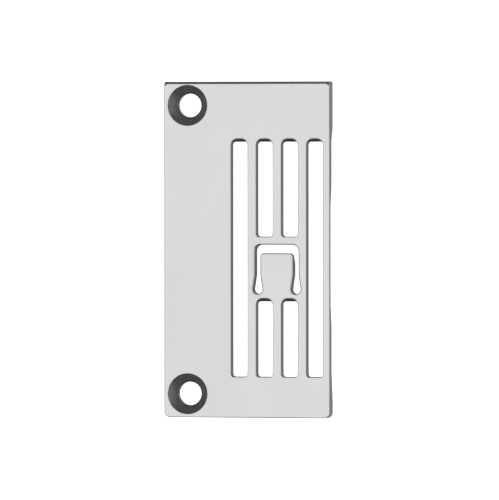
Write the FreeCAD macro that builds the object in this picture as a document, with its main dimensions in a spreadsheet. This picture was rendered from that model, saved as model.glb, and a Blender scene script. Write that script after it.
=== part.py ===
import FreeCAD, Part
import math
import os
import re
import Sketcher
from FreeCAD import Vector

# Needle plate of a twin-needle sewing machine: a flat ground steel plate with
# two countersunk screw holes, four long feed slots and a U-shaped needle slot
# around the stitch tongue.
#
# The plate lies face up. X runs across it, to the right, Y runs along it, to
# the rear, and Z runs up. The origin is under the middle of the plate.

NODE = "needle_plate"

# Driving dimensions, in millimetres and degrees: name, value, meaning
SIZES = (
    ("plate_width", 34.5, "left side to right side"),
    ("plate_length", 68.0, "front end to rear end"),
    ("plate_thickness", 3.0, "at the screw holes and at both ends"),
    ("rear_corner_radius", 0.1, "upright corners at the rear end"),
    ("front_corner_radius", 1.1, "upright corners at the front end"),
    ("face_edge_radius", 0.3, "rounded edge of the face, at the sides and the front end"),
    ("under_edge_break", 0.1, "small chamfer round the underside"),
    ("rear_bevel", 0.5, "bevel along the rear end, equal legs"),
    ("rear_bevel_radius", 0.9, "corners of the face at the rear bevel"),
    ("rear_bevel_inset", 0.05, "sides to those corners, so that their cone only just clears the sides"),
    ("screw_side_margin", 4.95, "left side to the centre of a screw hole"),
    ("screw_end_margin", 4.8, "each end to the centre of its screw hole"),
    ("screw_hole_diameter", 4.75, "clearance hole of a plate screw"),
    ("countersink_diameter", 8.3, "on the face"),
    ("countersink_angle", 82.0, "included angle of the cone"),
    ("slot_width", 3.4, "feed slot, wall to wall"),
    ("slot_pitch", 5.23, "from one feed slot to the next"),
    ("outer_rib", 1.36, "right side to the wall of the last feed slot"),
    ("slot_rear_margin", 12.17, "rear end to the rear wall of the feed slots"),
    ("slot_front_margin", 8.3, "front end to the front wall of the feed slots"),
    ("slot_rear_radius", 0.65, "corners of a feed slot at its rear wall"),
    ("slot_front_radius", 0.6, "corners of a feed slot at its front wall"),
    ("inner_slot_break_rear", 31.35, "rear end to the end of the rear inner slots"),
    ("inner_slot_break_front", 44.42, "rear end to the start of the front inner slots"),
    ("slot_edge_break", 0.12, "broken edge of each feed slot, on the face"),
    ("slot_bevel", 0.62, "bevel on the rear wall of each feed slot, equal legs"),
    ("slot_bevel_radius", 1.3, "corners of that bevel on the face"),
    ("needle_shift", 0.095, "middle of the feed slots to the middle of the needle slot, to the left"),
    ("needle_gauge", 7.94, "from the left needle hole to the right one"),
    ("needle_rear_margin", 32.97, "rear end to the cross slot"),
    ("needle_cross_width", 1.73, "cross slot, front to rear"),
    ("needle_leg_width", 1.2, "straight part of each leg"),
    ("needle_outer_radius", 1.3, "outer corners of the needle slot"),
    ("needle_hole_margin", 41.95, "rear end to the centres of the needle holes"),
    ("needle_hole_diameter", 2.05, "round end of each leg"),
    ("needle_flare_length", 3.1, "from the needle hole to where its leg flares"),
    ("needle_flare_radius", 3.0, "bend between the leg and its flare"),
    ("needle_edge_break", 0.2, "broken edge of the needle slot, on the face"),
    ("tongue_tip_radius", 0.6, "corners of the stitch tongue"),
    ("tongue_tip_thickness", 0.85, "stitch tongue at its tip"),
    ("tongue_ramp_length", 4.3, "tapered part of the stitch tongue"),
    ("tongue_ramp_radius", 12.0, "hollow cutter that leaves the tongue's belly"),
    ("relief_depth", 1.1, "underside, below the ribs between the feed slots"),
    ("relief_side_overlap", 1.3, "relief past the first feed slot"),
    ("relief_rear_overlap", 2.8, "relief past the rear walls of the feed slots"),
    ("relief_rear_ramp", 2.5, "sloping end of the relief, rear"),
    ("relief_front_overlap", 5.5, "relief past the front walls of the feed slots"),
    ("relief_front_ramp", 6.5, "sloping end of the relief, front"),
    ("boss_recess", 0.75, "underside of the plate up to the underside of the boss"),
    ("boss_side_wall", 0.75, "boss beside the needle slot"),
    ("boss_rear_wall", 0.75, "boss behind the cross slot"),
    ("boss_front_wall", 0.75, "boss in front of the needle holes"),
    ("boss_corner_radius", 1.0, "corners of the boss under the needle slot"),
    ("rib_thickness", 1.15, "right outer rib beside the needle slot"),
    ("rib_relief_rear", 24.8, "rear end to the thin part of the rib"),
    ("rib_relief_front", 45.4, "rear end to the end of the thin part"),
    ("rib_relief_ramp", 3.6, "slope at both ends of the thin part"),
)

RIGHT_ANGLE = 90.0
HALF_TURN = 180.0
FORWARD_AND_DOWN = Vector(0, -1, -1)
TOLERANCE = 1e-4
START, END, CENTRE = range(1, 4)
ORIGIN = (-1, 1)


doc = FreeCAD.newDocument("needle_plate_model")
sheet = doc.addObject("Spreadsheet::Sheet", "sizes")
for row, (name, size, meaning) in enumerate(SIZES, start=1):
    sheet.set(f"A{row}", name)
    sheet.set(f"B{row}", str(size))
    sheet.set(f"C{row}", meaning)
    sheet.setAlias(f"B{row}", name)
doc.recompute()

# Sizes that follow from the driving ones, used by more than one feature
SLOT_LEFT = "(plate_width / 2 - outer_rib - 3 * slot_pitch - slot_width)"
SLOT_RIGHT = f"({SLOT_LEFT} + slot_width)"
SLOT_REAR = "(plate_length / 2 - slot_rear_margin)"
SLOT_FRONT = "(slot_front_margin - plate_length / 2)"
INNER_REAR_END = "(plate_length / 2 - inner_slot_break_rear)"
INNER_FRONT_START = "(plate_length / 2 - inner_slot_break_front)"
NEEDLE_X = f"({SLOT_LEFT} + (3 * slot_pitch + slot_width) / 2 - needle_shift)"
CROSS_REAR = "(plate_length / 2 - needle_rear_margin)"
TONGUE_TIP = f"({CROSS_REAR} - needle_cross_width)"
NEEDLE_HOLES = "(plate_length / 2 - needle_hole_margin)"
LEG_OUTER = "(needle_gauge / 2 + needle_leg_width / 2)"
LEG_INNER = "(needle_gauge / 2 - needle_leg_width / 2)"


def spelled(expression):
    """The expression with each size's name pointing at its cell."""
    names = {name for name, _, _ in SIZES}
    return re.sub(r"[a-z_]+", lambda word: "sizes." + word[0] if word[0] in names else word[0], expression)


def value(expression):
    """The present number of an expression."""
    result = doc.getObject("sizes").evalExpression(expression)
    return float(getattr(result, "Value", result))


def bind(feature, path, expression):
    feature.setExpression(path, spelled(expression))


body = doc.addObject("PartDesign::Body", NODE)
body.Label = NODE
body.Placement = FreeCAD.Placement()


def new_sketch(name, plane_role, height="0", across="0"):
    """A sketch on one of the body's own planes, moved along its normal and along its own x axis."""
    sketch = body.newObject("Sketcher::SketchObject", name)
    plane = next(item for item in body.Origin.OriginFeatures if item.Role == plane_role)
    sketch.AttachmentSupport = [(plane, "")]
    sketch.MapMode = "FlatFace"
    bind(sketch, "AttachmentOffset.Base.z", height)
    bind(sketch, "AttachmentOffset.Base.x", across)
    return sketch


def measure(sketch, kind, name, expression, *places):
    """A named dimension of a sketch that follows an expression."""
    index = sketch.addConstraint(Sketcher.Constraint(kind, *places, value(expression)))
    sketch.renameConstraint(index, name)
    bind(sketch, f"Constraints.{name}", expression)


def add_line(sketch, start, end, direction=None):
    """A straight edge, held level or upright where a direction is given."""
    line = sketch.addGeometry(Part.LineSegment(Vector(*start), Vector(*end)))
    if direction:
        sketch.addConstraint(Sketcher.Constraint(direction, line))
    return line


def add_arc(sketch, centre, radius, first, last):
    """An arc that runs anticlockwise between two angles in degrees."""
    circle = Part.Circle(Vector(*centre), Vector(0, 0, 1), radius)
    return sketch.addGeometry(Part.ArcOfCircle(circle, math.radians(first), math.radians(last)))


def join(sketch, kind, *pairs):
    """Meets the ends of edges, smoothly (Tangent) or at a corner (Coincident)."""
    for first, first_end, second, second_end in pairs:
        sketch.addConstraint(Sketcher.Constraint(kind, first, first_end, second, second_end))


def around(edges):
    """Each edge's end with the start of the next one, right round an outline."""
    return [(edge, END, edges[(place + 1) % len(edges)], START) for place, edge in enumerate(edges)]


def rounded_rectangle(sketch, left, right, front, rear, front_radius, rear_radius):
    """A rectangle with one radius at its two front corners and one at its two rear ones."""
    x0, x1, y0, y1 = value(left), value(right), value(front), value(rear)
    near, far = value(front_radius), value(rear_radius)
    front_line = add_line(sketch, (x0 + near, y0), (x1 - near, y0), "Horizontal")
    right_line = add_line(sketch, (x1, y0 + near), (x1, y1 - far), "Vertical")
    rear_line = add_line(sketch, (x1 - far, y1), (x0 + far, y1), "Horizontal")
    left_line = add_line(sketch, (x0, y1 - far), (x0, y0 + near), "Vertical")
    front_right = add_arc(sketch, (x1 - near, y0 + near), near, -RIGHT_ANGLE, 0)
    rear_right = add_arc(sketch, (x1 - far, y1 - far), far, 0, RIGHT_ANGLE)
    rear_left = add_arc(sketch, (x0 + far, y1 - far), far, RIGHT_ANGLE, HALF_TURN)
    front_left = add_arc(sketch, (x0 + near, y0 + near), near, HALF_TURN, HALF_TURN + RIGHT_ANGLE)
    ring = (front_line, front_right, right_line, rear_right, rear_line, rear_left, left_line, front_left)
    join(sketch, "Tangent", *around(ring))
    sketch.addConstraint(Sketcher.Constraint("Equal", front_left, front_right))
    sketch.addConstraint(Sketcher.Constraint("Equal", rear_left, rear_right))
    measure(sketch, "DistanceX", "left", left, *ORIGIN, left_line, START)
    measure(sketch, "DistanceX", "right", right, *ORIGIN, right_line, START)
    measure(sketch, "DistanceY", "front", front, *ORIGIN, front_line, START)
    measure(sketch, "DistanceY", "rear", rear, *ORIGIN, rear_line, START)
    measure(sketch, "Radius", "front_radius", front_radius, front_left)
    measure(sketch, "Radius", "rear_radius", rear_radius, rear_left)


def polygon(sketch, points):
    """A closed outline of straight edges through points given as pairs of expressions."""
    spots = [(value(x), value(y)) for x, y in points]
    lines = [add_line(sketch, spot, spots[(place + 1) % len(spots)]) for place, spot in enumerate(spots)]
    join(sketch, "Coincident", *around(lines))
    for place, (x, y) in enumerate(points):
        measure(sketch, "DistanceX", f"across_{place}", x, *ORIGIN, lines[place], START)
        measure(sketch, "DistanceY", f"along_{place}", y, *ORIGIN, lines[place], START)


def solid_volume():
    doc.recompute()
    if not body.Shape.isValid():
        raise RuntimeError(f"{body.Tip.Name} is not sound")
    return body.Shape.Volume


def add_pocket(name, sketch, depth=None, direction=None, side="One side", flip=False):
    """Cuts a sketch out of the plate, right through it where no depth is given."""
    before = solid_volume()
    pocket = body.newObject("PartDesign::Pocket", name)
    pocket.Profile = sketch
    pocket.Refine = False
    pocket.SideType = side
    pocket.Reversed = flip
    if depth:
        pocket.Type = "Length"
        bind(pocket, "Length", depth)
    else:
        pocket.Type = "ThroughAll"
    if direction:
        pocket.UseCustomVector = True
        pocket.Direction = direction
    after = solid_volume()
    if not pocket.isValid() or after > before - TOLERANCE:
        raise RuntimeError(f"{name} cuts nothing: {pocket.getStatusString()}")
    return pocket


def add_row(name, features, sketch, step):
    """Repeats features once more, to the right of themselves."""
    before = solid_volume()
    row = body.newObject("PartDesign::LinearPattern", name)
    row.Originals = features
    row.Refine = False
    row.Direction = (sketch, ["H_Axis"])
    row.Occurrences = 2
    bind(row, "Length", step)
    body.Tip = row
    if solid_volume() > before - TOLERANCE:
        raise RuntimeError(f"{name} cuts nothing")
    return row


def same(first, second):
    return abs(first - second) < TOLERANCE


def level(box, height):
    """True for an edge that lies flat at a height."""
    return same(box.ZMin, height) and same(box.ZMax, height)


def dress_edges(kind, name, path, size, test):
    """A Chamfer or Fillet along the edges whose box passes the test."""
    doc.recompute()
    base = body.Tip
    edges = [f"Edge{index}" for index, edge in enumerate(base.Shape.Edges, start=1) if test(edge.BoundBox)]
    dressing = body.newObject(f"PartDesign::{kind}", name)
    dressing.Base = (base, edges)
    dressing.Refine = False
    bind(dressing, path, size)
    before = base.Shape.Volume
    if solid_volume() > before - TOLERANCE:
        raise RuntimeError(f"{name} takes nothing off: {dressing.getStatusString()}")
    return dressing


# Blank: the outline of the plate, raised to its thickness
outline = new_sketch("plate_outline", "XY_Plane")
rounded_rectangle(outline, "-plate_width / 2", "plate_width / 2", "-plate_length / 2", "plate_length / 2",
                  "front_corner_radius", "rear_corner_radius")
blank = body.newObject("PartDesign::Pad", "plate_blank")
blank.Profile = outline
bind(blank, "Length", "plate_thickness")
face_height = value("plate_thickness")

# Rear bevel along the end of the face, then the other edges of the blank
bevel_profile = new_sketch("rear_bevel_profile", "YZ_Plane")
bevel_start = "(plate_length / 2 - rear_bevel)"
bevel_beyond = "plate_length / 2 + rear_bevel"
polygon(bevel_profile, ((bevel_start, "plate_thickness"),
                        (bevel_beyond, "plate_thickness - 2 * rear_bevel"),
                        (bevel_beyond, "plate_thickness")))
add_pocket("rear_bevel_cut", bevel_profile, "2 * plate_width", side="Symmetric")


def is_face_rim(box):
    """True round the face, but not where the face meets the rear bevel."""
    return level(box, face_height) and box.YMin < value(bevel_start) - TOLERANCE


dress_edges("Fillet", "face_edge", "Radius", "face_edge_radius", is_face_rim)
dress_edges("Chamfer", "underside_edge_break", "Size", "under_edge_break", lambda box: level(box, 0))

# The face's two rear corners: a quarter of a cone, as steep as the bevel that it runs into
cone_across = "plate_width / 2 - rear_bevel_inset - rear_bevel_radius"
cone_back = f"rear_bevel_radius - {bevel_start}"
cone_profile = new_sketch("corner_cone_profile", "XZ_Plane", cone_back, cone_across)
cone_reach = "2 * rear_bevel_radius + rear_bevel"
polygon(cone_profile, (("rear_bevel_radius", "plate_thickness"),
                       (cone_reach, "plate_thickness - rear_bevel_radius - rear_bevel"),
                       (cone_reach, "plate_thickness")))
blank_volume = solid_volume()
corner_cone = body.newObject("PartDesign::Groove", "corner_cone")
corner_cone.Profile = cone_profile
corner_cone.Refine = False
corner_cone.ReferenceAxis = (cone_profile, ["V_Axis"])
corner_cone.Angle = RIGHT_ANGLE
doc.recompute()
corner_cones = body.newObject("PartDesign::Mirrored", "corner_cones")
corner_cones.Originals = [corner_cone]
corner_cones.Refine = False
corner_cones.MirrorPlane = (outline, ["V_Axis"])
body.Tip = corner_cones
if solid_volume() > blank_volume - TOLERANCE:
    raise RuntimeError("the rear corners of the face are still sharp")

# Underside: a milled relief below the ribs, open to the right, with a low boss left standing
relief = new_sketch("relief_profile", "YZ_Plane", f"{SLOT_LEFT} - relief_side_overlap")
relief_front = f"({SLOT_FRONT} - relief_front_overlap)"
relief_rear = f"({SLOT_REAR} + relief_rear_overlap)"
polygon(relief, ((relief_front, "0"), (f"{relief_front} + relief_front_ramp", "relief_depth"),
                 (f"{relief_rear} - relief_rear_ramp", "relief_depth"), (relief_rear, "0")))
add_pocket("feed_relief", relief, flip=True)

boss_outline = new_sketch("boss_outline", "XY_Plane", "boss_recess")
rounded_rectangle(boss_outline, f"{NEEDLE_X} - {LEG_OUTER} - boss_side_wall",
                  f"{NEEDLE_X} + {LEG_OUTER} + boss_side_wall",
                  f"{NEEDLE_HOLES} - needle_hole_diameter / 2 - boss_front_wall",
                  f"{CROSS_REAR} + boss_rear_wall", "boss_corner_radius", "boss_corner_radius")
boss = body.newObject("PartDesign::Pad", "needle_boss")
boss.Profile = boss_outline
bind(boss, "Length", "relief_depth - boss_recess")

# Right outer rib: thinned from below beside the needle slot
rib_reach = "outer_rib + slot_width / 2"
rib_front = "(plate_length / 2 - rib_relief_front)"
rib_rear = "(plate_length / 2 - rib_relief_rear)"
rib_top = "(plate_thickness - rib_thickness)"
rib_profile = new_sketch("rib_relief_profile", "YZ_Plane", "plate_width / 2")
polygon(rib_profile, ((f"{rib_front} - rib_relief_ramp", "relief_depth"), (rib_front, rib_top),
                      (rib_rear, rib_top), (f"{rib_rear} + rib_relief_ramp", "relief_depth")))
add_pocket("rib_relief", rib_profile, rib_reach)

# Screw holes: two countersunk clearance holes along the left side
screw_centres = new_sketch("screw_centres", "XY_Plane", "plate_thickness")
screw_across = "screw_side_margin - plate_width / 2"
screw_along = {"front": "screw_end_margin - plate_length / 2", "rear": "plate_length / 2 - screw_end_margin"}
for end, along in screw_along.items():
    spot = Vector(value(screw_across), value(along), 0)
    circle = screw_centres.addGeometry(Part.Circle(spot, Vector(0, 0, 1), value("screw_hole_diameter / 2")))
    measure(screw_centres, "DistanceX", f"{end}_across", screw_across, *ORIGIN, circle, CENTRE)
    measure(screw_centres, "DistanceY", f"{end}_along", along, *ORIGIN, circle, CENTRE)
    measure(screw_centres, "Diameter", f"{end}_size", "screw_hole_diameter", circle)
doc.recompute()
screw_holes = body.newObject("PartDesign::Hole", "screw_holes")
screw_holes.Profile = screw_centres
screw_holes.DepthType = "ThroughAll"
screw_holes.HoleCutType = "Countersink"
screw_holes.HoleCutCustomValues = True
bind(screw_holes, "Diameter", "screw_hole_diameter")
bind(screw_holes, "HoleCutDiameter", "countersink_diameter")
bind(screw_holes, "HoleCutCountersinkAngle", "countersink_angle")


# Feed slots: the two outer ones run the whole field, the two inner ones stop for the needle slot
def add_slot(name, shift, front, rear):
    sketch = new_sketch(f"{name}_outline", "XY_Plane", "plate_thickness")
    rounded_rectangle(sketch, f"{SLOT_LEFT} + {shift}", f"{SLOT_RIGHT} + {shift}", front, rear,
                      "slot_front_radius", "slot_rear_radius")
    return sketch, add_pocket(name, sketch)


outer_sketch, outer_slot = add_slot("outer_slot", "0", SLOT_FRONT, SLOT_REAR)
add_row("outer_slot_row", [outer_slot], outer_sketch, "3 * slot_pitch")
inner_sketch, inner_rear_slot = add_slot("inner_rear_slot", "slot_pitch", INNER_REAR_END, SLOT_REAR)
_, inner_front_slot = add_slot("inner_front_slot", "slot_pitch", SLOT_FRONT, INNER_FRONT_START)
add_row("inner_slot_row", [inner_rear_slot, inner_front_slot], inner_sketch, "slot_pitch")


# Slot bevels: the rear wall of each feed slot slopes at its top, so that nothing snags there
def add_slot_bevel(name, shift, rear):
    sketch = new_sketch(f"{name}_outline", "XY_Plane", "plate_thickness")
    rounded_rectangle(sketch, f"{SLOT_LEFT} + {shift}", f"{SLOT_RIGHT} + {shift}", f"{rear} - slot_width",
                      f"{rear} + slot_bevel", "slot_front_radius", "slot_bevel_radius")
    return sketch, add_pocket(name, sketch, "2 * slot_bevel", FORWARD_AND_DOWN)


outer_bevel_sketch, outer_bevel = add_slot_bevel("outer_slot_bevel", "0", SLOT_REAR)
add_row("outer_bevel_row", [outer_bevel], outer_bevel_sketch, "3 * slot_pitch")
inner_bevel_sketch, inner_rear_bevel = add_slot_bevel("inner_rear_bevel", "slot_pitch", SLOT_REAR)
_, inner_front_bevel = add_slot_bevel("inner_front_bevel", "slot_pitch", INNER_FRONT_START)
add_row("inner_bevel_row", [inner_rear_bevel, inner_front_bevel], inner_bevel_sketch, "slot_pitch")


def is_slot_edge(box):
    """True on the face, inside the field of the feed slots."""
    across = box.Center.x > value(SLOT_LEFT) - TOLERANCE
    along = abs(box.Center.y) < value("plate_length / 2 - slot_front_margin / 2")
    return level(box, face_height) and across and along


dress_edges("Chamfer", "slot_edges", "Size", "slot_edge_break", is_slot_edge)


# Needle slot: its left half is drawn about the middle line and mirrored to the right
def draw_needle_slot(sketch):
    outer, inner = -value(LEG_OUTER), -value(LEG_INNER)
    rear, tip = value(CROSS_REAR), value(TONGUE_TIP)
    corner, tip_corner = value("needle_outer_radius"), value("tongue_tip_radius")
    hole_x, hole_y = -value("needle_gauge / 2"), value(NEEDLE_HOLES)
    hole, bend = value("needle_hole_diameter / 2"), value("needle_flare_radius")
    flare_y = hole_y + value("needle_flare_length")
    # The flare is the straight line that touches both the bend and the needle hole
    reach = Vector(value("needle_leg_width / 2") + bend, value("needle_flare_length"), 0)
    lean = math.atan2(reach.y, reach.x) - math.acos((hole + bend) / reach.Length)
    away = Vector(math.cos(lean), -math.sin(lean), 0)
    toward = Vector(-away.x, away.y, 0)
    lean = math.degrees(lean)
    left_bend = Vector(outer - bend, flare_y, 0)
    right_bend = Vector(inner + bend, flare_y, 0)
    hole_centre = Vector(hole_x, hole_y, 0)

    cross_line = add_line(sketch, (0, rear), (outer + corner, rear), "Horizontal")
    outer_arc = add_arc(sketch, (outer + corner, rear - corner), corner, RIGHT_ANGLE, HALF_TURN)
    outer_leg = add_line(sketch, (outer, rear - corner), (outer, flare_y), "Vertical")
    outer_bend = add_arc(sketch, left_bend, bend, -lean, 0)
    outer_flare = add_line(sketch, left_bend + away * bend, hole_centre - away * hole)
    hole_arc = add_arc(sketch, hole_centre, hole, HALF_TURN - lean, 2 * HALF_TURN + lean)
    inner_flare = add_line(sketch, hole_centre - toward * hole, right_bend + toward * bend)
    inner_bend = add_arc(sketch, right_bend, bend, HALF_TURN, HALF_TURN + lean)
    inner_leg = add_line(sketch, (inner, flare_y), (inner, tip - tip_corner), "Vertical")
    tip_arc = add_arc(sketch, (inner + tip_corner, tip - tip_corner), tip_corner, RIGHT_ANGLE, HALF_TURN)
    tip_line = add_line(sketch, (inner + tip_corner, tip), (0, tip), "Horizontal")
    middle = add_line(sketch, (0, tip), (0, rear), "Vertical")

    join(sketch, "Tangent", (cross_line, END, outer_arc, START), (outer_arc, END, outer_leg, START),
         (outer_leg, END, outer_bend, END), (outer_bend, START, outer_flare, START),
         (outer_flare, END, hole_arc, START), (hole_arc, END, inner_flare, START),
         (inner_flare, END, inner_bend, END), (inner_bend, START, inner_leg, START),
         (inner_leg, END, tip_arc, END), (tip_arc, START, tip_line, START))
    join(sketch, "Coincident", (tip_line, END, middle, START), (middle, END, cross_line, START))
    sketch.addConstraint(Sketcher.Constraint("Equal", outer_bend, inner_bend))
    sketch.addConstraint(Sketcher.Constraint("Horizontal", outer_bend, CENTRE, inner_bend, CENTRE))
    measure(sketch, "DistanceX", "middle", "0", *ORIGIN, middle, START)
    measure(sketch, "DistanceY", "cross_rear", CROSS_REAR, *ORIGIN, cross_line, START)
    measure(sketch, "DistanceY", "tip", TONGUE_TIP, *ORIGIN, tip_line, END)
    measure(sketch, "DistanceX", "leg_outer", f"-{LEG_OUTER}", *ORIGIN, outer_leg, START)
    measure(sketch, "DistanceX", "leg_inner", f"-{LEG_INNER}", *ORIGIN, inner_leg, END)
    measure(sketch, "Radius", "outer_corner", "needle_outer_radius", outer_arc)
    measure(sketch, "Radius", "tip_corner", "tongue_tip_radius", tip_arc)
    measure(sketch, "Radius", "bend", "needle_flare_radius", outer_bend)
    measure(sketch, "Radius", "hole", "needle_hole_diameter / 2", hole_arc)
    measure(sketch, "DistanceX", "hole_across", "-needle_gauge / 2", *ORIGIN, hole_arc, CENTRE)
    measure(sketch, "DistanceY", "hole_along", NEEDLE_HOLES, *ORIGIN, hole_arc, CENTRE)
    flare_start = f"{NEEDLE_HOLES} + needle_flare_length"
    measure(sketch, "DistanceY", "flare_start", flare_start, *ORIGIN, outer_bend, CENTRE)


needle_sketch = new_sketch("needle_slot_outline", "XY_Plane", "plate_thickness", NEEDLE_X)
draw_needle_slot(needle_sketch)
needle_half = add_pocket("needle_slot_half", needle_sketch)
needle_slot = body.newObject("PartDesign::Mirrored", "needle_slot")
needle_slot.Originals = [needle_half]
needle_slot.Refine = False
needle_slot.MirrorPlane = (needle_sketch, ["V_Axis"])
body.Tip = needle_slot


def is_needle_edge(box):
    """True on the face, along the needle slot."""
    across = abs(box.Center.x - value(NEEDLE_X)) < value("needle_gauge / 2 + needle_hole_diameter / 2")
    lowest = value(f"{NEEDLE_HOLES} - needle_hole_diameter / 2") - TOLERANCE
    highest = value(CROSS_REAR) + TOLERANCE
    return level(box, face_height) and across and lowest < box.YMin and box.YMax < highest


dress_edges("Chamfer", "needle_edges", "Size", "needle_edge_break", is_needle_edge)


# Stitch tongue: thinned from below towards its tip, so that stitches slip off it
def draw_tongue_ramp(sketch):
    ramp_start = f"{TONGUE_TIP} - tongue_ramp_length"
    open_end = f"{TONGUE_TIP} + needle_cross_width / 2"
    start_y, tip_y, open_y = value(ramp_start), value(TONGUE_TIP), value(open_end)
    rise, radius = value("plate_thickness - tongue_tip_thickness"), value("tongue_ramp_radius")
    chord = Vector(tip_y - start_y, rise, 0)
    inward = Vector(-chord.y, chord.x, 0).normalize()
    centre = Vector(start_y, 0, 0) + chord / 2 + inward * math.sqrt(radius**2 - (chord.Length / 2) ** 2)
    first = math.degrees(math.atan2(-centre.y, start_y - centre.x))
    last = math.degrees(math.atan2(rise - centre.y, tip_y - centre.x))
    under = add_line(sketch, (start_y, 0), (open_y, 0), "Horizontal")
    upright = add_line(sketch, (open_y, 0), (open_y, rise), "Vertical")
    top = add_line(sketch, (open_y, rise), (tip_y, rise), "Horizontal")
    belly = add_arc(sketch, centre, radius, first, last)
    join(sketch, "Coincident", (under, END, upright, START), (upright, END, top, START),
         (top, END, belly, END), (belly, START, under, START))
    measure(sketch, "DistanceX", "ramp_start", ramp_start, *ORIGIN, under, START)
    measure(sketch, "DistanceY", "underside", "0", *ORIGIN, under, START)
    measure(sketch, "DistanceX", "open_end", open_end, *ORIGIN, upright, START)
    measure(sketch, "DistanceX", "tip", TONGUE_TIP, *ORIGIN, top, END)
    measure(sketch, "DistanceY", "rise", "plate_thickness - tongue_tip_thickness", *ORIGIN, top, END)
    measure(sketch, "Radius", "belly", "tongue_ramp_radius", belly)


tongue_profile = new_sketch("tongue_ramp_profile", "YZ_Plane", NEEDLE_X)
draw_tongue_ramp(tongue_profile)
add_pocket("tongue_ramp", tongue_profile, "needle_gauge", side="Symmetric")

doc.recompute()
faulty = [item.Name for item in doc.Objects if "Invalid" in item.State or "Error" in item.State]
if faulty:
    raise RuntimeError(f"failed features: {faulty}")
sketches = [item for item in doc.Objects if item.TypeId == "Sketcher::SketchObject"]
loose = [sketch.Name for sketch in sketches if not sketch.FullyConstrained]
if loose:
    raise RuntimeError(f"sketches with freedom left: {loose}")
if body.Shape.isNull() or not body.Shape.isValid() or len(body.Shape.Solids) != 1:
    raise RuntimeError(f"{NODE} is not one valid solid")

os.makedirs("parts", exist_ok=True)
body.Shape.exportStep(f"parts/{NODE}.step")
box = body.Shape.optimalBoundingBox(False, False)
size = f"{box.XLength:.2f} x {box.YLength:.2f} x {box.ZLength:.2f} mm"
print(f"{NODE}: {size}, {body.Shape.Volume / 1000:.3f} cm3")
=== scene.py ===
import math

import bpy
from mathutils import Matrix, Vector


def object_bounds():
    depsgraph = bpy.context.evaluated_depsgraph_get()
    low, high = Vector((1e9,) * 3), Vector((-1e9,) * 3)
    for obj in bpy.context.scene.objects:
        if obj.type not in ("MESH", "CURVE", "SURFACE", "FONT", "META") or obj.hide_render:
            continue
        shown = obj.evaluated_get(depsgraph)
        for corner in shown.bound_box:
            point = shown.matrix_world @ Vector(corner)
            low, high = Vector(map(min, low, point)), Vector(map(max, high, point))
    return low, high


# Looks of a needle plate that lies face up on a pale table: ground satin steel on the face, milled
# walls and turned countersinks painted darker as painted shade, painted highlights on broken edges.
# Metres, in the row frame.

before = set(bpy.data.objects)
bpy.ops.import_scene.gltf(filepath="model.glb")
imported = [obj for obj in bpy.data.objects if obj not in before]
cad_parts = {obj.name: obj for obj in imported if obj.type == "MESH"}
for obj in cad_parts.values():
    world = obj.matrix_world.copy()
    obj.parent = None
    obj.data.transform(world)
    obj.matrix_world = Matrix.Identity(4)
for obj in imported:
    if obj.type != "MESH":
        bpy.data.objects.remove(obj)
cad_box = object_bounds()

MM = 0.001

# View: nearly straight down, leaning to the right, with a long lens
PICTURE_WIDTH = 499
LEAN_RIGHT = math.radians(14.15)
LEAN_FRONT = math.radians(-0.77)
ROLL = math.radians(-0.034)
DISTANCE = 1.6
FOCAL_PIXELS = 7916
TARGET = Vector((0.64 * MM, -0.05 * MM, 3.0 * MM))
SENSOR_WIDTH = 36.0

# Screw holes, as far as the turned finish and painted shade of their countersinks need them
SCREW_X = -12.3 * MM
SCREW_SPACING = 58.4 * MM
COUNTERSINK_RADIUS = 4.15 * MM
BORE_RADIUS = 2.375 * MM

# Where the slots lie, as far as the painted shade and painted highlights of their walls need it
SLOT_FIELD = {"X": (-3.4 * MM, 16.1 * MM), "Y": (-25.9 * MM, 22.7 * MM)}
NEEDLE_FIELD = {"X": (0.9 * MM, 11.6 * MM), "Y": (-9.2 * MM, 1.4 * MM)}
# The broken edges of the face lie above the first height, the flat underside below the second
EDGE_Z = 2.78 * MM
SOLE_Z = 0.05 * MM
# How far the finish and painted shade of a hole reach past its radius, and the width over which they
# fade
HOLE_MARGIN = 0.05 * MM
HOLE_FADE = 0.1 * MM

# Parts of a surface's unit normal: where a surface turns steep, and from where it counts as
# leaning to a side, to the front or down
STEEP_FADE = (0.98, 0.93)
LEANING = 0.4
FRONT_LEANING = 0.25
DOWNWARD = -0.5
FLAT_DOWN = -0.99

# Brightness of the steel: the ground face; painted shade on the side walls, slot walls, needle slot
# walls, rear-wall bevels and countersinks; a painted highlight on broken edges; and the bore walls
GROUND = 0.60
SHADED_SIDE_WALL = 0.43
SHADED_SLOT_WALL = 0.26
SHADED_NEEDLE_WALL = 0.13
SHADED_SLOT_BEVEL = 0.17
PAINTED_EDGE_HIGHLIGHT = 0.88
SHADED_COUNTERSINK = 0.215
BORE = 0.40

# Surface marks: waves per metre along each axis, and the pitch of the turning rings
GRINDING_LINES = (14000, 260, 260)
CLOUD = (90, 60, 90)
CUTTER_MARKS = (1100, 1100, 240)
RING_PITCH = 0.42 * MM
BUMP_STRENGTH = 0.06
BUMP_HEIGHT = 0.004 * MM
# The span of a noise pattern that is used, for marks and for clouds
MARK_SPAN = (0.25, 0.75)
CLOUD_SPAN = (0.3, 0.7)
# What the marks do to the tone and the roughness
LINE_TONES = (-0.02, 0.02)
CLOUD_TONES = (0.985, 1.015)
CUTTER_TONES = (0.94, 1.06)
TURNED_TONES = (0.92, 1.08)
RING_TONE = 0.10
FACE_ROUGHNESS = (0.30, 0.36)
WALL_ROUGHNESS = (0.27, 0.33)

# Light: radiance of each part of the studio, and where one part fades into the next
OVERHEAD = 1.19
HORIZON = 0.13
RIGHT_SIDE = 0.70
BELOW = 0.38
FLOOR_GLOW = 0.85
OVERHEAD_FADE = (0.08, 0.62)
RIGHT_FADE = (0.55, 0.95)
BELOW_FADE = (-0.10, -0.60)

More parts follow.
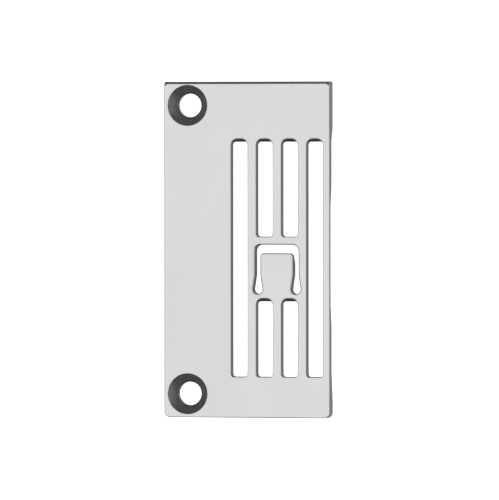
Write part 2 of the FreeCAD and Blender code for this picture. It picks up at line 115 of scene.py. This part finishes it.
# Table: half its width, its gap below the plate, waves per metre and the tones they move between
FLOOR_HALF = 1.5
FLOOR_GAP = 0.02 * MM
FLOOR_WAVES = (6, 6, 6)
FLOOR_TONES = (0.90, 0.92)


def node(tree, kind, **settings):
    """A shader node with its properties set by name."""
    made = tree.nodes.new(kind)
    for name, setting in settings.items():
        setattr(made, name, setting)
    return made


def fill(tree, socket, source):
    """Feeds a socket from another one, or from a plain value."""
    if isinstance(source, bpy.types.NodeSocket):
        tree.links.new(source, socket)
    else:
        socket.default_value = source


def maths(tree, operation, first, second=0.0):
    made = node(tree, "ShaderNodeMath", operation=operation)
    fill(tree, made.inputs[0], first)
    fill(tree, made.inputs[1], second)
    return made.outputs[0]


def product(tree, first, *others):
    for other in others:
        first = maths(tree, "MULTIPLY", first, other)
    return first


def ramp(tree, source, low, high, low_value=0.0, high_value=1.0):
    """A smooth step of the source between two values."""
    made = node(tree, "ShaderNodeMapRange", interpolation_type="SMOOTHSTEP")
    fill(tree, made.inputs["Value"], source)
    made.inputs["From Min"].default_value = low
    made.inputs["From Max"].default_value = high
    made.inputs["To Min"].default_value = low_value
    made.inputs["To Max"].default_value = high_value
    return made.outputs["Result"]


def within(tree, share, spot, field):
    """The share inside an upright box of space, and zero outside it."""
    for axis, (low, high) in field.items():
        above_low = maths(tree, "GREATER_THAN", spot[axis], low)
        below_high = maths(tree, "LESS_THAN", spot[axis], high)
        share = product(tree, share, above_low, below_high)
    return share


def mix_number(tree, share, first, second):
    made = node(tree, "ShaderNodeMix", data_type="FLOAT")
    fill(tree, made.inputs[0], share)
    fill(tree, made.inputs[2], first)
    fill(tree, made.inputs[3], second)
    return made.outputs[0]


def mix_colour(tree, share, first, second):
    made = node(tree, "ShaderNodeMix", data_type="RGBA")
    fill(tree, made.inputs[0], share)
    fill(tree, made.inputs[6], first)
    fill(tree, made.inputs[7], second)
    return made.outputs[2]


def noise(tree, place, waves, detail):
    """Noise over the place, with each axis in waves per metre."""
    mapping = node(tree, "ShaderNodeMapping")
    fill(tree, mapping.inputs["Vector"], place)
    mapping.inputs["Scale"].default_value = waves
    made = node(tree, "ShaderNodeTexNoise")
    fill(tree, made.inputs["Vector"], mapping.outputs["Vector"])
    made.inputs["Scale"].default_value = 1.0
    made.inputs["Detail"].default_value = detail
    return made.outputs["Fac"]


def parts_of(tree, vector):
    """The three parts of a vector, by axis."""
    split = node(tree, "ShaderNodeSeparateXYZ")
    fill(tree, split.inputs[0], vector)
    return {axis: split.outputs[axis] for axis in "XYZ"}


def grey(level):
    return (level, level, level, 1.0)


def hole_distance(tree, spot):
    """Distance to the nearer screw hole: the holes mirror each other, one in front and one behind."""
    across = maths(tree, "SUBTRACT", spot["X"], SCREW_X)
    along = maths(tree, "SUBTRACT", maths(tree, "ABSOLUTE", spot["Y"]), SCREW_SPACING / 2)
    squares = maths(tree, "ADD", product(tree, across, across), product(tree, along, along))
    return maths(tree, "SQRT", squares)


def steel_tones(tree, spot, normal, reach):
    """The steel's base tone, with its painted shade and painted edge highlights, and how much of a
    surface is steep and how much is turned.
    """
    # The flat underside is ground like the face
    flat_down = maths(tree, "LESS_THAN", normal["Z"], FLAT_DOWN)
    sole = product(tree, flat_down, maths(tree, "LESS_THAN", spot["Z"], SOLE_Z))
    steep = product(tree, ramp(tree, normal["Z"], *STEEP_FADE), maths(tree, "SUBTRACT", 1.0, sole))
    # Its reliefs keep the side walls' one milled finish and painted shade, so what follows holds for
    # walls and edges alone
    not_below = maths(tree, "GREATER_THAN", normal["Z"], DOWNWARD)
    rim = COUNTERSINK_RADIUS + HOLE_MARGIN
    near_hole = ramp(tree, reach, rim + HOLE_FADE, rim)
    turned = product(tree, steep, not_below, near_hole)
    in_slots = within(tree, not_below, spot, SLOT_FIELD)
    in_needle_slot = within(tree, not_below, spot, NEEDLE_FIELD)

    # Broken edges are brighter than the walls, as a painted highlight: those of the plate's long sides,
    # the right-hand ones of the slots, and in the needle slot all but those that face the front, with
    # half the painted highlight where they face right
    near_face = maths(tree, "GREATER_THAN", spot["Z"], EDGE_Z)
    sideways = maths(tree, "LESS_THAN", maths(tree, "ABSOLUTE", normal["Y"]), LEANING)
    leftward = maths(tree, "LESS_THAN", normal["X"], -LEANING)
    rightward = maths(tree, "GREATER_THAN", normal["X"], LEANING)
    frontward = maths(tree, "LESS_THAN", normal["Y"], -FRONT_LEANING)
    outer_edge = product(tree, near_face, sideways)
    needle_edge = product(tree, in_needle_slot, maths(tree, "SUBTRACT", 1.0, frontward),
                          mix_number(tree, rightward, 1.0, 0.5))
    slot_edge = product(tree, near_face, maths(tree, "MAXIMUM", leftward, needle_edge))
    # Bevels on the rear walls of the feed slots, painted darker as painted shade
    bevelled = product(tree, maths(tree, "SUBTRACT", in_slots, in_needle_slot), frontward)

    # Painted shade: slot walls are darker than the outer walls, and the needle slot's walls darker
    # still, as of shade in narrow slots
    slot_wall = mix_colour(tree, in_needle_slot, grey(SHADED_SLOT_WALL), grey(SHADED_NEEDLE_WALL))
    slot_wall = mix_colour(tree, bevelled, slot_wall, grey(SHADED_SLOT_BEVEL))
    # Painted highlight: the slots' broken edges are much brighter than their walls
    slot_wall = mix_colour(tree, slot_edge, slot_wall, grey(PAINTED_EDGE_HIGHLIGHT))
    # Painted shade: the outer walls are darker than the face, and their broken edges near the face keep
    # the face's tone
    outer_wall = mix_colour(tree, outer_edge, grey(SHADED_SIDE_WALL), grey(GROUND))
    wall = mix_colour(tree, in_slots, outer_wall, slot_wall)
    # Painted shade: the countersinks are darker than the face; the bore walls are a mid grey
    bore = maths(tree, "LESS_THAN", reach, BORE_RADIUS + HOLE_MARGIN)
    hole = mix_colour(tree, bore, grey(SHADED_COUNTERSINK), grey(BORE))
    base = mix_colour(tree, turned, mix_colour(tree, steep, grey(GROUND), wall), hole)
    return base, steep, turned


def steel_material():
    """Ground face, milled walls and turned countersinks, with painted shade and painted edge
    highlights, told apart by where and how a surface lies.
    """
    material = bpy.data.materials.new("ground_steel")
    material.use_nodes = True
    tree = material.node_tree
    tree.nodes.clear()
    output = node(tree, "ShaderNodeOutputMaterial")
    shader = node(tree, "ShaderNodeBsdfPrincipled")
    fill(tree, output.inputs["Surface"], shader.outputs[0])
    place = node(tree, "ShaderNodeTexCoord").outputs["Object"]
    spot = parts_of(tree, place)
    normal = parts_of(tree, node(tree, "ShaderNodeNewGeometry").outputs["True Normal"])
    reach = hole_distance(tree, spot)
    base, steep, turned = steel_tones(tree, spot, normal, reach)

    # Ground face: fine lines along the plate over a faint cloud
    lines = noise(tree, place, GRINDING_LINES, detail=3)
    cloud = noise(tree, place, CLOUD, detail=2)
    line_tone = ramp(tree, lines, *MARK_SPAN, *LINE_TONES)
    face_tone = maths(tree, "ADD", line_tone, ramp(tree, cloud, *CLOUD_SPAN, *CLOUD_TONES))
    # Milled walls: cutter marks up and down
    cutter = noise(tree, place, CUTTER_MARKS, detail=2)
    wall_tone = ramp(tree, cutter, *MARK_SPAN, *CUTTER_TONES)
    # Turned countersinks: rings round the hole
    rings = maths(tree, "SINE", maths(tree, "MULTIPLY", reach, 2 * math.pi / RING_PITCH))
    turned_tone = ramp(tree, cutter, *MARK_SPAN, *TURNED_TONES)
    ring_tone = maths(tree, "ADD", maths(tree, "MULTIPLY", rings, RING_TONE), turned_tone)

    tone = mix_number(tree, turned, mix_number(tree, steep, face_tone, wall_tone), ring_tone)
    toned = node(tree, "ShaderNodeVectorMath", operation="SCALE")
    fill(tree, toned.inputs[0], base)
    fill(tree, toned.inputs["Scale"], tone)
    fill(tree, shader.inputs["Base Color"], toned.outputs[0])

    shader.inputs["Metallic"].default_value = 1.0
    face_rough = ramp(tree, lines, *MARK_SPAN, *FACE_ROUGHNESS)
    wall_rough = ramp(tree, cutter, *MARK_SPAN, *WALL_ROUGHNESS)
    fill(tree, shader.inputs["Roughness"], mix_number(tree, steep, face_rough, wall_rough))

    bump = node(tree, "ShaderNodeBump")
    bump.inputs["Strength"].default_value = BUMP_STRENGTH
    bump.inputs["Distance"].default_value = BUMP_HEIGHT
    relief = mix_number(tree, steep, lines, mix_number(tree, turned, cutter, rings))
    fill(tree, bump.inputs["Height"], relief)
    fill(tree, shader.inputs["Normal"], bump.outputs[0])
    return material


def floor_material():
    """Pale matt table with a soft glow, as of a light table."""
    material = bpy.data.materials.new("pale_table")
    material.use_nodes = True
    tree = material.node_tree
    shader = tree.nodes["Principled BSDF"]
    place = node(tree, "ShaderNodeTexCoord").outputs["Object"]
    shade = ramp(tree, noise(tree, place, FLOOR_WAVES, detail=2), *CLOUD_SPAN)
    dark, light = FLOOR_TONES
    fill(tree, shader.inputs["Base Color"], mix_colour(tree, shade, grey(dark), grey(light)))
    shader.inputs["Roughness"].default_value = 0.8
    shader.inputs["Specular IOR Level"].default_value = 0.0
    shader.inputs["Emission Color"].default_value = grey(1.0)
    shader.inputs["Emission Strength"].default_value = FLOOR_GLOW
    return material


def studio():
    """Soft light from overhead, dim round the horizon, brighter on the right and from below."""
    world = bpy.data.worlds.new("studio")
    bpy.context.scene.world = world
    world.use_nodes = True
    tree = world.node_tree
    background = tree.nodes["Background"]
    way = parts_of(tree, node(tree, "ShaderNodeTexCoord").outputs["Generated"])
    high = ramp(tree, way["Z"], *OVERHEAD_FADE)
    right = ramp(tree, way["X"], *RIGHT_FADE)
    below = ramp(tree, way["Z"], *BELOW_FADE)
    side = mix_number(tree, below, mix_number(tree, right, HORIZON, RIGHT_SIDE), BELOW)
    fill(tree, background.inputs["Strength"], mix_number(tree, high, side, OVERHEAD))
    background.inputs["Color"].default_value = grey(1.0)


def lay_floor():
    mesh = bpy.data.meshes.new("table_top")
    corners = [(x * FLOOR_HALF, y * FLOOR_HALF, 0) for x, y in ((-1, -1), (1, -1), (1, 1), (-1, 1))]
    mesh.from_pydata(corners, [], [(0, 1, 2, 3)])
    mesh.materials.append(floor_material())
    floor = bpy.data.objects.new("table_top", mesh)
    bpy.context.scene.collection.objects.link(floor)
    floor.location.z = cad_box[0][2] - FLOOR_GAP
    floor.visible_glossy = False


def place_camera():
    toward = Vector((math.sin(LEAN_RIGHT) * math.cos(LEAN_FRONT), -math.sin(LEAN_FRONT),
                     math.cos(LEAN_RIGHT) * math.cos(LEAN_FRONT)))
    level = Vector((0, 1, 0)).cross(toward).normalized()
    upright = toward.cross(level)
    right = level * math.cos(ROLL) + upright * math.sin(ROLL)
    up = upright * math.cos(ROLL) - level * math.sin(ROLL)
    camera = bpy.data.cameras.new("view")
    camera.sensor_fit = "HORIZONTAL"
    camera.sensor_width = SENSOR_WIDTH
    camera.lens = FOCAL_PIXELS * SENSOR_WIDTH / PICTURE_WIDTH
    camera.clip_start = 0.01
    camera.clip_end = 20
    holder = bpy.data.objects.new("view", camera)
    turn = Matrix((right, up, toward)).transposed()
    holder.matrix_world = Matrix.Translation(TARGET + toward * DISTANCE) @ turn.to_4x4()
    bpy.context.scene.collection.objects.link(holder)
    bpy.context.scene.camera = holder


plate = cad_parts["needle_plate"]
plate.data.materials.clear()
plate.data.materials.append(steel_material())
lay_floor()
studio()
place_camera()

settings = bpy.context.scene.view_settings
settings.view_transform = "Standard"
settings.look = "None"
settings.exposure = 0.0
settings.gamma = 1.0
